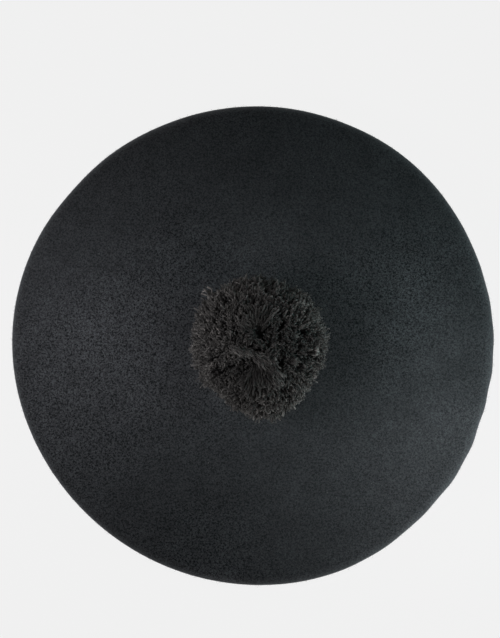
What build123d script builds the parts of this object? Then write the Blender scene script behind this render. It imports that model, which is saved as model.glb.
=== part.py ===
"""A felt beret with a yarn pompom, as an assembly of its separate pieces.

Millimetres. The origin is the middle of the head opening, on the surface the
beret lies on. +Z points up through the crown, +Y towards the back of the head.
"""
from build123d import *
from math import asin, cos, degrees, radians, sin
import os

# Felt crown: a domed disc, a rolled rim and an underside that runs in to the head opening.
CROWN_RADIUS = 140.0
FELT = 2.6                      # thickness of the fulled wool
OPENING_RADIUS = 90.0
REST_END = 98.0                 # the flat hem that the beret lies on ends here
TOE_RADIUS = 30.0               # the curve from the flat hem up to the underside
UNDERSIDE_ANGLE = 22.0          # slope of the underside, degrees
RIM_RADIUS = 8.0                # outer radius of the rolled rim
CROWN_ANGLE = 11.0              # slope of the crown where it meets the rim, degrees

# Satin lining, inside the felt.
LINING = 0.4
LINING_GAP = 0.3                # air between felt and lining
LINING_SEAM_RADIUS = 122.0      # where the tip is sewn to the side
LINING_SEAM_GAP = 0.4
LABEL = 0.3                     # blank label sewn to the lining
LABEL_SIZE = (32.0, 18.0)
LABEL_Y = 48.0

# Leather sweatband, stitched round the opening.
BAND_RADIUS = 88.5              # inner radius: a head of 556 mm
BAND = 1.2
BAND_BOTTOM = 0.6
BAND_TOP = 25.8
BAND_JOIN_GAP = 0.5             # the strip's two ends meet at the back
GROOVE_Z = 2.4                  # groove that the stitches pull into the leather
GROOVE_HEIGHT = 1.2
GROOVE_DEPTH = 0.45
STITCH_COUNT = 120
STITCH_SIZE = (0.3, 3.2, 0.7)   # through the leather, round the band, up
STITCH_CLEARANCE = 0.05

# Ribbon bow that covers the top of the sweatband's join.
BOW_Y = 86.2
BOW_BOTTOM = 26.0
BOW_HEIGHT = 4.0
BOW_LOOP_LENGTH = 9.0
BOW_LOOP_WIDTH = 3.4
BOW_RIBBON = 0.4
KNOT_SIZE = (2.8, 4.4, 4.4)
KNOT_CENTRE = (0, 87.2, 28.05)

# The cord that holds the pompom: through felt and lining, and tied off against a button.
CORD_RADIUS = 0.5
CORD_SPACING = 3.2
CORD_HOLE_RADIUS = 0.6
CORD_RISE = 0.6                 # height of the cord's bridge over the felt
CORD_BEND = 0.55
BUTTON_RADIUS = 7.0
BUTTON = 1.6
ANCHOR_KNOT_RADIUS = 1.9

# Pompom: a loose ball of cut yarn, tied round its waist.
PIVOT_RISE = 2.6                # the thread bends this far above the felt
SHANK_RADIUS = 0.9
TIE_KNOT_RADIUS = 1.6
CLEARANCE = 0.3
POMPOM_OFFSET = (2.2, -0.8)     # the loose ball leans a little off its thread
POMPOM_RADIUS = 40.0
POMPOM_HALF_HEIGHT = 30.5
POMPOM_CENTRE_RISE = 31.2       # above the pivot
TIE_RING_RADIUS = 5.0
TIE_RADIUS = 0.9
TIE_CHANNEL_RADIUS = 1.0
WELL_RADIUS = 2.2
FOOT_TURN = 13                  # where the ball's flat foot ends, degrees from its axis

# The rim's centre stands where one straight line is tangent to both the toe and the rim.
slope = radians(UNDERSIDE_ANGLE)
rim_r = CROWN_RADIUS - RIM_RADIUS
rim_z = TOE_RADIUS + (RIM_RADIUS - TOE_RADIUS + (rim_r - REST_END) * sin(slope)) / cos(slope)

# The dome's centre is on the axis, and the dome is tangent to the rim.
dome_reach = rim_r / sin(radians(CROWN_ANGLE))
dome_radius = dome_reach + RIM_RADIUS
dome_z = rim_z - dome_reach * cos(radians(CROWN_ANGLE))
apex_z = dome_z + dome_radius

lining_outside = FELT + LINING_GAP
lining_inside = lining_outside + LINING
pivot_z = apex_z + PIVOT_RISE
tie_knot_z = pivot_z + SHANK_RADIUS + CLEARANCE + TIE_KNOT_RADIUS
pompom_z = pivot_z + POMPOM_CENTRE_RISE


def dome_arc(inset, outer_radius, inner_radius=0.0):
    """The dome between two radii, moved in by inset. It runs towards the axis."""
    radius = dome_radius - inset
    outer = degrees(asin(outer_radius / radius))
    inner = degrees(asin(inner_radius / radius))
    return CenterArc((0, dome_z), radius, 90 - outer, outer - inner)


def side_lines(inset, start_radius):
    """The hem, toe, underside and rim, moved in by inset. Returns the hem and the rim."""
    toe = CenterArc((REST_END, TOE_RADIUS), TOE_RADIUS - inset, -90, UNDERSIDE_ANGLE)
    hem = Line((start_radius, inset), toe @ 0)
    turn = 180 - CROWN_ANGLE - UNDERSIDE_ANGLE
    rim = CenterArc((rim_r, rim_z), RIM_RADIUS - inset, UNDERSIDE_ANGLE - 90, turn)
    Line(toe @ 1, rim @ 0)
    return hem, rim


# One seamless body of fulled wool felt.
with BuildPart() as felt_crown:
    with BuildSketch(Plane.XZ) as crown_section:
        with BuildLine() as crown_lines:
            outer_hem, outer_rim = side_lines(0, OPENING_RADIUS)
            inner_hem, inner_rim = side_lines(FELT, OPENING_RADIUS)
            outer_dome = dome_arc(0, (outer_rim @ 1).X)
            inner_dome = dome_arc(FELT, (inner_rim @ 1).X)
            Line(outer_hem @ 0, inner_hem @ 0)
            Line(outer_dome @ 1, inner_dome @ 1)
        make_face()
    revolve(axis=Axis.Z)
    with Locations((0, 0, apex_z)):
        with GridLocations(CORD_SPACING, 1, 2, 1):
            Hole(CORD_HOLE_RADIUS)
felt_crown.part.label = "felt_crown"

# The round top of the satin lining.
with BuildPart() as lining_tip:
    with BuildSketch(Plane.XZ) as tip_section:
        with BuildLine() as tip_lines:
            tip_outside = dome_arc(lining_outside, LINING_SEAM_RADIUS)
            tip_inside = dome_arc(lining_inside, LINING_SEAM_RADIUS)
            Line(tip_outside @ 0, tip_inside @ 0)
            Line(tip_outside @ 1, tip_inside @ 1)
        make_face()
    revolve(axis=Axis.Z)
    with Locations((0, 0, apex_z)):
        with GridLocations(CORD_SPACING, 1, 2, 1):
            Hole(CORD_HOLE_RADIUS)
lining_tip.part.label = "lining_tip"

# The side of the lining: round the rim and down the underside to the sweatband.
side_start = BAND_RADIUS + BAND + CLEARANCE
side_seam = LINING_SEAM_RADIUS + LINING_SEAM_GAP
with BuildPart() as lining_side:
    with BuildSketch(Plane.XZ) as side_section:
        with BuildLine() as side_section_lines:
            side_hem, side_rim = side_lines(lining_outside, side_start)
            bare_hem, bare_rim = side_lines(lining_inside, side_start)
            side_top = dome_arc(lining_outside, (side_rim @ 1).X, side_seam)
            bare_top = dome_arc(lining_inside, (bare_rim @ 1).X, side_seam)
            Line(side_hem @ 0, bare_hem @ 0)
            Line(side_top @ 1, bare_top @ 1)
        make_face()
    revolve(axis=Axis.Z)
lining_side.part.label = "lining_side"

# A blank woven label, sewn flat to the lining at the back.
with BuildPart() as lining_label:
    with BuildSketch(Plane.XZ) as label_section:
        with BuildLine() as label_lines:
            label_top = dome_arc(lining_inside, LINING_SEAM_RADIUS)
            label_under = dome_arc(lining_inside + LABEL, LINING_SEAM_RADIUS)
            Line(label_top @ 0, label_under @ 0)
            Line(label_top @ 1, label_under @ 1)
        make_face()
    revolve(axis=Axis.Z)
    with Locations((0, LABEL_Y, apex_z)):
        Box(*LABEL_SIZE, apex_z, mode=Mode.INTERSECT)
lining_label.part.label = "lining_label"

# The leather strip, bent round and butted at the back, with its stitch groove.
with BuildPart() as sweatband:
    with BuildSketch(Plane.XY.offset(BAND_BOTTOM)):
        Circle(BAND_RADIUS + BAND)
        Circle(BAND_RADIUS, mode=Mode.SUBTRACT)
    extrude(amount=BAND_TOP - BAND_BOTTOM)
    with BuildSketch(Plane.XY.offset(GROOVE_Z - GROOVE_HEIGHT / 2)):
        Circle(BAND_RADIUS + GROOVE_DEPTH)
    extrude(amount=GROOVE_HEIGHT, mode=Mode.SUBTRACT)
    with Locations((0, BAND_RADIUS, 0)):
        Box(BAND_JOIN_GAP, 4 * BAND, 3 * BAND_TOP, mode=Mode.SUBTRACT)
sweatband.part.label = "sweatband"

# The row of stitches that lies in the groove. None bridges the join.
stitch_line = BAND_RADIUS + STITCH_CLEARANCE + STITCH_SIZE[0] / 2
half_pitch = 180 / STITCH_COUNT
with BuildPart() as sweatband_stitches:
    with Locations((0, 0, GROOVE_Z)):
        with PolarLocations(stitch_line, STITCH_COUNT, start_angle=90 + half_pitch):
            Box(*STITCH_SIZE)
sweatband_stitches.part.label = "sweatband_stitches"

# Both loops of the little ribbon bow, one each side of the knot.
loop_centre = (KNOT_SIZE[0] + BOW_LOOP_LENGTH) / 2 + STITCH_CLEARANCE
with BuildPart() as bow_loops:
    with BuildSketch(Plane.XY.offset(BOW_BOTTOM)):
        for side in (-1, 1):
            with Locations((side * loop_centre, BOW_Y)):
                SlotOverall(BOW_LOOP_LENGTH, BOW_LOOP_WIDTH)
                SlotOverall(
                    BOW_LOOP_LENGTH - 2 * BOW_RIBBON,
                    BOW_LOOP_WIDTH - 2 * BOW_RIBBON,
                    mode=Mode.SUBTRACT,
                )
    extrude(amount=BOW_HEIGHT)
bow_loops.part.label = "bow_loops"

# The wrap of ribbon between the loops, sewn down over the band's top edge.
with BuildPart() as bow_knot:
    with Locations(KNOT_CENTRE):
        Box(*KNOT_SIZE)
    fillet(bow_knot.edges().filter_by(Axis.Z), radius=0.8)
bow_knot.part.label = "bow_knot"

# A flat button inside the crown, under the lining.
button_top = apex_z - lining_inside - CLEARANCE / 3
with BuildPart() as backing_button:
    with BuildSketch(Plane.XY.offset(button_top - BUTTON)):
        Circle(BUTTON_RADIUS)
        with GridLocations(CORD_SPACING, 1, 2, 1):
            Circle(CORD_HOLE_RADIUS, mode=Mode.SUBTRACT)
    extrude(amount=BUTTON)
    rims = backing_button.edges().filter_by(GeomType.CIRCLE).sort_by(SortBy.RADIUS)[-2:]
    fillet(rims, radius=0.5)
backing_button.part.label = "backing_button"

# One cord: up through the felt, over in a short bridge, down again and knotted.
leg = CORD_SPACING / 2
cord_bottom = button_top - BUTTON - ANCHOR_KNOT_RADIUS
cord_top = apex_z + CORD_RISE
with BuildPart() as anchor_cord:
    with BuildLine(Plane.XZ) as cord_path:
        FilletPolyline(
            (-leg, cord_bottom), (-leg, cord_top), (leg, cord_top), (leg, cord_bottom),
            radius=CORD_BEND,
        )
    with BuildSketch(Plane((-leg, 0, cord_bottom), z_dir=(0, 0, 1))):
        Circle(CORD_RADIUS)
    sweep(path=cord_path.wires()[0])
    with Locations((0, 0, cord_bottom)):
        Sphere(ANCHOR_KNOT_RADIUS)
anchor_cord.part.label = "anchor_cord"

# The bead of thread where the cord bends.
with BuildPart() as thread_shank:
    with Locations((0, 0, pivot_z)):
        Sphere(SHANK_RADIUS)
thread_shank.part.label = "thread_shank"

# The knot that ends the pompom's tie.
with BuildPart() as tie_knot:
    with Locations((0, 0, tie_knot_z)):
        Sphere(TIE_KNOT_RADIUS)
tie_knot.part.label = "tie_knot"

# The tie: a ring round the pompom's waist and its tail down to the knot.
tail_bottom = tie_knot_z + TIE_KNOT_RADIUS + CLEARANCE
tail_top = pompom_z - TIE_RING_RADIUS
with BuildPart() as pompom_tie:
    with Locations(Location((0, 0, pompom_z), (90, 0, 0))):
        Torus(TIE_RING_RADIUS, TIE_RADIUS)
    with BuildSketch(Plane.XY.offset(tail_bottom)):
        Circle(TIE_RADIUS)
    extrude(amount=tail_top - tail_bottom)
pompom_tie.part.label = "pompom_tie"

# The room for the tie inside the yarn: a channel for the ring and a well for its tail.
with BuildPart() as tie_room:
    with Locations(Location((0, 0, pompom_z), (90, 0, 0))):
        Torus(TIE_RING_RADIUS, TIE_CHANNEL_RADIUS)
    with BuildSketch(Plane.XY.offset(pivot_z)):
        Circle(WELL_RADIUS)
    extrude(amount=tail_top - pivot_z)

# The ball of yarn: an oval turned about its own axis, with a flat foot towards the felt.
ball_plane = Plane((*POMPOM_OFFSET, pompom_z), x_dir=(1, 0, 0), z_dir=(0, -1, 0))
oval = [
    (POMPOM_RADIUS * sin(radians(turn)), -POMPOM_HALF_HEIGHT * cos(radians(turn)))
    for turn in (FOOT_TURN, 40, 65, 90, 115, 140, 160)
]
oval.append((0, POMPOM_HALF_HEIGHT))
with BuildPart() as pompom_yarn:
    with BuildSketch(ball_plane) as yarn_section:
        with BuildLine() as yarn_lines:
            Spline(oval, tangents=[(1, 0.15), (-1, 0)], tangent_scalars=[1, 1])
            Polyline(oval[0], (0, oval[0][1]), oval[-1])
        make_face()
    revolve(axis=Axis((*POMPOM_OFFSET, 0), (0, 0, 1)))
    add(tie_room.part, mode=Mode.SUBTRACT)
pompom_yarn.part.label = "pompom_yarn"

os.makedirs("parts", exist_ok=True)
for piece in (
    felt_crown, lining_tip, lining_side, lining_label, sweatband, sweatband_stitches,
    bow_loops, bow_knot, backing_button, anchor_cord, thread_shank, tie_knot,
    pompom_tie, pompom_yarn,
):
    export_step(piece.part, f"parts/{piece.part.label}.step")
print(f"dome radius {dome_radius:.2f}, apex {apex_z:.3f}, pivot {pivot_z:.3f}, pompom {pompom_z:.3f}")
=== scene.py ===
"""A felt beret with a loose yarn pompom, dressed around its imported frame.

Sizes in the classes are millimetres, as a hat maker measures them. Meshes are in metres.
The origin is the middle of the head opening, on the surface that the beret lies on.
"""
from __future__ import annotations

import logging
import math
from dataclasses import dataclass, field
from enum import Enum

import bpy
import numpy as np
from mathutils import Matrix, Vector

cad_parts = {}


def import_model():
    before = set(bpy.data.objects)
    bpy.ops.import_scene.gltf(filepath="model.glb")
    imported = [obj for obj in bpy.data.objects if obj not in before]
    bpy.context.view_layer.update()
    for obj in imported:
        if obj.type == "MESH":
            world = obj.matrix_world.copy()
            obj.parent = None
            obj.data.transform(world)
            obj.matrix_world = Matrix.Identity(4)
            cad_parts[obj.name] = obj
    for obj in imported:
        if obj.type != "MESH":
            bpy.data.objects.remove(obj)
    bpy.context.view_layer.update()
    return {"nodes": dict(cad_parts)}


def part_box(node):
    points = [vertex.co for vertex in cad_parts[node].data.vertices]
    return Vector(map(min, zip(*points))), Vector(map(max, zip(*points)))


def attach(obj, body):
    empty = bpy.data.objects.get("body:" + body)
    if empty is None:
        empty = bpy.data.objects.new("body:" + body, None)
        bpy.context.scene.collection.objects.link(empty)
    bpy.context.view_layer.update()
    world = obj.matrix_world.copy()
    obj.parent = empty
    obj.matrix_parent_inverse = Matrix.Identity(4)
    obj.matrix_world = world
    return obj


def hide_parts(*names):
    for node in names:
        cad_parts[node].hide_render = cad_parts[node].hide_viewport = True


MM = 0.001
FULL_TURN = 2 * math.pi
GOLDEN_TURN = math.pi * (3 - math.sqrt(5))
log = logging.getLogger("beret")


class Body(Enum):
    """The rigid bodies that pieces ride on."""

    BERET = "beret"
    SHANK = "shank"
    KNOT = "knot"
    POMPOM = "pompom"


# ---------------------------------------------------------------- arrays and meshes


def unit(vectors: np.ndarray) -> np.ndarray:
    """Vectors divided by their own lengths."""
    return vectors / np.linalg.norm(vectors, axis=-1, keepdims=True)


def smoothstep(low: float, high: float, value: np.ndarray) -> np.ndarray:
    """0 below low, 1 above high, and 3t^2 - 2t^3 of the way t between them."""
    t = np.clip((value - low) / (high - low), 0, 1)
    return t * t * (3 - 2 * t)


def node_box(node: str) -> tuple[np.ndarray, np.ndarray]:
    """The lowest and highest corners of a frame node, in millimetres."""
    low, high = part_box(node)
    return np.array(low) / MM, np.array(high) / MM


def ring_quads(rows: int, columns: int) -> np.ndarray:
    """Quads of a grid whose columns close round, facing out when its rows run down the outside."""
    row = np.arange(rows - 1)[:, None] * columns
    here = np.arange(columns)[None, :]
    after = (here + 1) % columns
    corners = [row + here, row + columns + here, row + columns + after, row + after]
    return np.stack(corners, -1).reshape(-1, 4)


def end_fans(rows: int, columns: int) -> np.ndarray:
    """Triangles that close a round grid's first and last rows onto two points numbered after it."""
    here = np.arange(columns)
    after = (here + 1) % columns
    total, last = rows * columns, (rows - 1) * columns
    return np.concatenate([
        np.stack([0 * here + total, here, after], -1),
        np.stack([0 * here + total + 1, last + after, last + here], -1),
    ])


def sheet_quads(rows: int, columns: int) -> np.ndarray:
    """Quads of an open grid, numbered row by row."""
    row = np.arange(rows - 1)[:, None] * columns
    here = np.arange(columns - 1)[None, :]
    corners = [row + here, row + here + 1, row + columns + here + 1, row + columns + here]
    return np.stack(corners, -1).reshape(-1, 4)


@dataclass
class Cloth:
    """A mesh as arrays: points in millimetres, four-sided and three-sided faces, and a shade per point."""

    points: np.ndarray
    quads: np.ndarray
    tris: np.ndarray = field(default_factory=lambda: np.zeros((0, 3), int))
    shade: np.ndarray | None = None

    @staticmethod
    def joined(parts: list[Cloth]) -> Cloth:
        """Several meshes as one, with each part's face numbers moved past the points before it."""
        starts = np.cumsum([0] + [len(part.points) for part in parts[:-1]])
        shades = [np.ones(len(p.points)) if p.shade is None else p.shade for p in parts]
        return Cloth(
            np.concatenate([part.points for part in parts]),
            np.concatenate([part.quads + start for part, start in zip(parts, starts)]),
            np.concatenate([part.tris + start for part, start in zip(parts, starts)]),
            np.concatenate(shades),
        )

    def piece(self, name: str, material: bpy.types.Material, body: Body, slot: str) -> bpy.types.Object:
        """Put the arrays into a new object that rides on a body.

        Args:
            name: the piece's name.
            material: its finish.
            body: what it rides on.
            slot: not used.

        Returns:
            The object, at the origin, with its place in its mesh.
        """
        mesh = bpy.data.meshes.new(name)
        corners = np.concatenate([self.quads.ravel(), self.tris.ravel()]).astype(np.int32)
        starts = np.concatenate([
            np.arange(len(self.quads)) * 4,
            len(self.quads) * 4 + np.arange(len(self.tris)) * 3,
        ]).astype(np.int32)
        mesh.vertices.add(len(self.points))
        mesh.vertices.foreach_set("co", (self.points * MM).astype(np.float32).ravel())
        mesh.loops.add(len(corners))
        mesh.loops.foreach_set("vertex_index", corners)
        mesh.polygons.add(len(starts))
        mesh.polygons.foreach_set("loop_start", starts)
        mesh.polygons.foreach_set("use_smooth", np.ones(len(starts), bool))
        if self.shade is not None:
            shades = mesh.attributes.new("shade", "FLOAT", "POINT")
            shades.data.foreach_set("value", self.shade.astype(np.float32))
        mesh.update(calc_edges=True)
        mesh.validate()
        mesh.materials.append(material)
        made = bpy.data.objects.new(name, mesh)
        bpy.context.scene.collection.objects.link(made)
        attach(made, body.value)
        log.info("%s: %d points on %s", name, len(self.points), body.value)
        return made


def square_to(paths: np.ndarray) -> tuple[np.ndarray, np.ndarray]:
    """Two directions square to each path and to each other, at every one of its points.

    A mostly upright path is turned by +X and any other by +Z. Where a path runs exactly along
    that direction the result is not a number.
    """
    ahead = unit(np.gradient(paths, axis=1))
    helper = np.where(np.abs(ahead.mean(1)[:, 2:]) > 0.8, (1.0, 0.0, 0.0), (0.0, 0.0, 1.0))
    side = unit(np.cross(ahead, helper[:, None, :]))
    return side, np.cross(ahead, side)


def tubes(paths: np.ndarray, radii: np.ndarray, sides: int, shade: np.ndarray | None = None) -> Cloth:
    """Round tubes along many open paths at once.

    A ring point is its path's point + radius * (cos a * side + sin a * up), where side and up
    stand square to the path. Both ends are closed by fans.

    Args:
        paths: points, as (tube, ring, 3).
        radii: radius at each point, as (tube, ring).
        sides: corners of a ring.
        shade: one number per point of a path, as (tube, ring).

    Returns:
        All the tubes as one mesh.
    """
    count, rings = paths.shape[:2]
    side, up = square_to(paths)
    angle = np.arange(sides) * FULL_TURN / sides
    across = np.cos(angle)[:, None] * side[:, :, None, :] + np.sin(angle)[:, None] * up[:, :, None, :]
    points = paths[:, :, None, :] + radii[:, :, None, None] * across
    tube = np.arange(count)[:, None, None] * rings * sides
    ring = np.arange(rings - 1)[None, :, None] * sides
    here = np.arange(sides)[None, None, :]
    after = (here + 1) % sides
    low, high = tube + ring, tube + ring + sides
    quads = np.stack([low + here, low + after, high + after, high + here], -1).reshape(-1, 4)
    first = np.arange(count)[:, None] * rings * sides
    last = first + (rings - 1) * sides
    fan = np.arange(1, sides - 1)[None, :]
    start = np.stack([first + 0 * fan, first + fan + 1, first + fan], -1)
    end = np.stack([last + 0 * fan, last + fan, last + fan + 1], -1)
    tris = np.concatenate([start.reshape(-1, 3), end.reshape(-1, 3)])
    shades = None if shade is None else np.repeat(shade.ravel(), sides)
    return Cloth(points.reshape(-1, 3), quads, tris, shades)


def twisted(paths: np.ndarray, plies: int, throw: np.ndarray | float, pitch: float,
            phase: np.ndarray) -> np.ndarray:
    """The paths of the plies that wind round each path.

    A ply's point is the path's point + throw * (cos b * side + sin b * up), where b grows by
    one full turn for each pitch of length.

    Args:
        paths: points, as (yarn, ring, 3).
        plies: how many plies a yarn has.
        throw: distance of a ply from the yarn's middle.
        pitch: length of one turn.
        phase: where each yarn's first ply starts, in radians.

    Returns:
        Points as (yarn * plies, ring, 3), each yarn's plies together.
    """
    side, up = square_to(paths)
    step = np.linalg.norm(np.diff(paths, axis=1), axis=-1)
    run = np.concatenate([np.zeros((len(paths), 1)), np.cumsum(step, 1)], 1)
    turn = run / pitch * FULL_TURN + phase[:, None]
    turn = turn[:, None, :] + np.arange(plies)[None, :, None] * FULL_TURN / plies
    across = np.cos(turn)[..., None] * side[:, None] + np.sin(turn)[..., None] * up[:, None]
    throw = np.broadcast_to(throw, paths.shape[:2])[:, None, :, None]
    return (paths[:, None] + throw * across).reshape(-1, paths.shape[1], 3)


def thread(plies: np.ndarray, radius: float, sides: int = 8) -> Cloth:
    """Plies of one even radius and shade."""
    size = plies.shape[:2]
    return tubes(plies, np.full(size, radius), sides, np.ones(size))


def thicken(made: bpy.types.Object, wall: float, offset: float) -> None:
    """Give a sheet its thickness: offset -1 puts it behind the sheet and 0 on both sides."""
    modifier = made.modifiers.new("thickness", "SOLIDIFY")
    modifier.thickness = wall * MM
    modifier.offset = offset


def ribbons(roots: np.ndarray, ways: np.ndarray, bends: np.ndarray, widths: np.ndarray,
            shade: np.ndarray) -> Cloth:
    """Single wool fibres, each a strip of two faces.

    A fibre's middle line is root + s * way + s^2 * bend for s of 0, 1/2 and 1. It narrows to
    its tip.

    Args:
        roots: where the fibres start.
        ways: their straight run, with its length.
        bends: how far their tips curl away.
        widths: width at the root.
        shade: one number per fibre.

    Returns:
        All the fibres as one mesh.
    """
    share = np.array((0.0, 0.5, 1.0))[None, :, None]
    middle = roots[:, None] + share * ways[:, None] + share ** 2 * bends[:, None]
    across = unit(np.cross(ways, bends + (0.013, 0.017, 0.011)))[:, None]
    half = widths[:, None, None] / 2 * (1 - 0.7 * share)
    points = np.stack([middle - half * across, middle + half * across], 2)
    first = np.arange(len(roots))[:, None] * 6 + np.array((0, 2))[None, :]
    quads = np.stack([first, first + 1, first + 3, first + 2], -1).reshape(-1, 4)
    return Cloth(points.reshape(-1, 3), quads, shade=np.repeat(shade, 6))


# ---------------------------------------------------------------- finishes


class Dye:
    """A small builder of one procedural material around a Principled shader."""

    def __init__(self, name: str) -> None:
        """Start a material with its shader, its output and its position coordinates."""
        self.material = bpy.data.materials.new(name)
        self.material.use_nodes = True
        self.tree = self.material.node_tree
        self.tree.nodes.clear()
        output = self.tree.nodes.new("ShaderNodeOutputMaterial")
        self.shader = self.tree.nodes.new("ShaderNodeBsdfPrincipled")
        self.tree.links.new(self.shader.outputs[0], output.inputs[0])
        self.place = self.tree.nodes.new("ShaderNodeTexCoord").outputs["Object"]

    def set(self, **values: float | tuple) -> None:
        """Set constant sockets of the shader, named with _ for each space."""
        for name, value in values.items():
            self.shader.inputs[name.replace("_", " ")].default_value = value

    def noise(self, size: float, detail: float = 2, rough: float = 0.5, wander: float = 0,
              stretch: tuple[float, float, float] = (1, 1, 1)) -> bpy.types.NodeSocket:
        """Cloudy noise with features of a size in millimetres, stretched along the axes."""
        mapping = self.tree.nodes.new("ShaderNodeMapping")
        mapping.inputs["Scale"].default_value = [1 / (size * MM * s) for s in stretch]
        self.tree.links.new(self.place, mapping.inputs["Vector"])
        node = self.tree.nodes.new("ShaderNodeTexNoise")
        node.inputs["Scale"].default_value = 1
        node.inputs["Detail"].default_value = detail
        node.inputs["Roughness"].default_value = rough
        node.inputs["Distortion"].default_value = wander
        self.tree.links.new(mapping.outputs[0], node.inputs["Vector"])
        return node.outputs["Fac"]

    def specks(self, size: float, reach: float) -> bpy.types.NodeSocket:
        """1 in a small dot at the middle of each cell of a size, fading out at reach of a cell."""
        mapping = self.tree.nodes.new("ShaderNodeMapping")
        mapping.inputs["Scale"].default_value = (1 / (size * MM),) * 3
        self.tree.links.new(self.place, mapping.inputs["Vector"])
        node = self.tree.nodes.new("ShaderNodeTexVoronoi")
        node.inputs["Scale"].default_value = 1
        self.tree.links.new(mapping.outputs[0], node.inputs["Vector"])
        return self.spread(node.outputs["Distance"], reach, reach * 0.4, 0, 1)

    def shade(self) -> bpy.types.NodeSocket:
        """The piece's own shade attribute."""
        node = self.tree.nodes.new("ShaderNodeAttribute")
        node.attribute_name = "shade"
        return node.outputs["Fac"]

    def spread(self, value: bpy.types.NodeSocket, low: float, high: float,
               to_low: float, to_high: float) -> bpy.types.NodeSocket:
        """Carry the range from low to high onto to_low to to_high, and stop at both ends."""
        node = self.tree.nodes.new("ShaderNodeMapRange")
        for name, number in zip(("From Min", "From Max", "To Min", "To Max"),
                                (low, high, to_low, to_high)):
            node.inputs[name].default_value = number
        self.tree.links.new(value, node.inputs["Value"])
        return node.outputs["Result"]

    def maths(self, operation: str, first: bpy.types.NodeSocket,
              second: bpy.types.NodeSocket | float) -> bpy.types.NodeSocket:
        """One arithmetic step on two numbers."""
        node = self.tree.nodes.new("ShaderNodeMath")
        node.operation = operation
        self.tree.links.new(first, node.inputs[0])
        if isinstance(second, bpy.types.NodeSocket):
            self.tree.links.new(second, node.inputs[1])
        else:
            node.inputs[1].default_value = second
        return node.outputs[0]

    def blend(self, share: bpy.types.NodeSocket, first: tuple | bpy.types.NodeSocket,
              second: tuple | bpy.types.NodeSocket) -> bpy.types.NodeSocket:
        """The first colour at share 0 and the second at share 1."""
        node = self.tree.nodes.new("ShaderNodeMix")
        node.data_type = "RGBA"
        self.tree.links.new(share, node.inputs[0])
        for socket, colour in ((node.inputs[6], first), (node.inputs[7], second)):
            if isinstance(colour, bpy.types.NodeSocket):
                self.tree.links.new(colour, socket)
            else:
                socket.default_value = (*colour, 1)
        return node.outputs[2]

    def dim(self, colour: bpy.types.NodeSocket, factor: bpy.types.NodeSocket) -> bpy.types.NodeSocket:
        """A colour times a number."""
        node = self.tree.nodes.new("ShaderNodeVectorMath")
        node.operation = "SCALE"
        self.tree.links.new(colour, node.inputs[0])
        self.tree.links.new(factor, node.inputs["Scale"])
        return node.outputs[0]

    def paint(self, colour: bpy.types.NodeSocket) -> None:
        """Use a colour as the shader's base colour."""
        self.tree.links.new(colour, self.shader.inputs["Base Color"])

    def roughen(self, value: bpy.types.NodeSocket) -> None:
        """Use a number as the shader's roughness."""
        self.tree.links.new(value, self.shader.inputs["Roughness"])

    def raise_by(self, height: bpy.types.NodeSocket, depth: float, strength: float = 1) -> None:
        """Bump the surface by a height of up to depth millimetres."""
        node = self.tree.nodes.new("ShaderNodeBump")
        node.inputs["Strength"].default_value = strength
        node.inputs["Distance"].default_value = depth * MM
        self.tree.links.new(height, node.inputs["Height"])
        if self.shader.inputs["Normal"].is_linked:
            before = self.shader.inputs["Normal"].links[0].from_socket
            self.tree.links.new(before, node.inputs["Normal"])
        self.tree.links.new(node.outputs[0], self.shader.inputs["Normal"])


@dataclass(frozen=True)
class WoolFelt:
    """Fulled wool: a dense mat of fine fibres, uneven in tone, with a soft bloom and a little lint; its
    piece's shade attribute adds painted light and shade.
    """

    dark: tuple[float, float, float] = (0.006, 0.0064, 0.0068)
    light: tuple[float, float, float] = (0.071, 0.075, 0.079)
    smooth: tuple[float, float, float] = (0.036, 0.038, 0.040)
    lint: tuple[float, float, float] = (0.2, 0.2, 0.195)

    def make(self, name: str = "wool_felt") -> bpy.types.Material:
        """Build the material."""
        dye = Dye(name)
        grain = dye.noise(0.95, detail=2, rough=0.7, wander=0.8)
        fibre = dye.noise(2.2, detail=2, rough=0.6, wander=2.2)
        cloud = dye.noise(16, detail=3, rough=0.55)
        tone = dye.maths("ADD", dye.maths("MULTIPLY", grain, 0.75), dye.maths("MULTIPLY", fibre, 0.25))
        colour = dye.blend(dye.spread(tone, 0.42, 0.58, 0, 1), self.dark, self.light)
        worn = dye.spread(dye.noise(120, detail=1), 0.42, 0.58, 0, 0.4)
        colour = dye.blend(worn, colour, self.smooth)
        colour = dye.dim(colour, dye.spread(cloud, 0.3, 0.7, 0.86, 1.14))
        # painted light and shade: the piece's shade attribute lightens or darkens the colour
        colour = dye.dim(colour, dye.shade())
        colour = dye.blend(dye.specks(11, 0.03), colour, self.lint)
        dye.paint(colour)
        dye.raise_by(fibre, 0.2, 0.5)
        dye.raise_by(grain, 0.16, 0.7)
        dye.set(Roughness=0.95, Specular_IOR_Level=0.15, Sheen_Weight=0.18, Sheen_Roughness=0.55,
                Sheen_Tint=(0.75, 0.8, 0.85, 1))
        return dye.material


@dataclass(frozen=True)
class WoolYarn:
    """Spun wool or its loose fibres, toned by each strand's shade attribute, which on the pompom and the
    felt nap also holds painted light and shade.
    """

    dark: tuple[float, float, float] = (0.012, 0.0118, 0.0115)
    light: tuple[float, float, float] = (0.052, 0.051, 0.049)
    fibre_size: float = 0.35
    sheen: float = 0.25

    def make(self, name: str) -> bpy.types.Material:
        """Build the material."""
        dye = Dye(name)
        fibre = dye.noise(self.fibre_size, detail=2, rough=0.7, wander=1.0)
        colour = dye.blend(dye.spread(fibre, 0.3, 0.7, 0, 1), self.dark, self.light)
        dye.paint(dye.dim(colour, dye.shade()))
        dye.raise_by(fibre, 0.12, 0.6)
        dye.set(Roughness=0.9, Specular_IOR_Level=0.2, Sheen_Weight=self.sheen, Sheen_Roughness=0.5,
                Sheen_Tint=(0.9, 0.88, 0.85, 1))
        return dye.material


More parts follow.
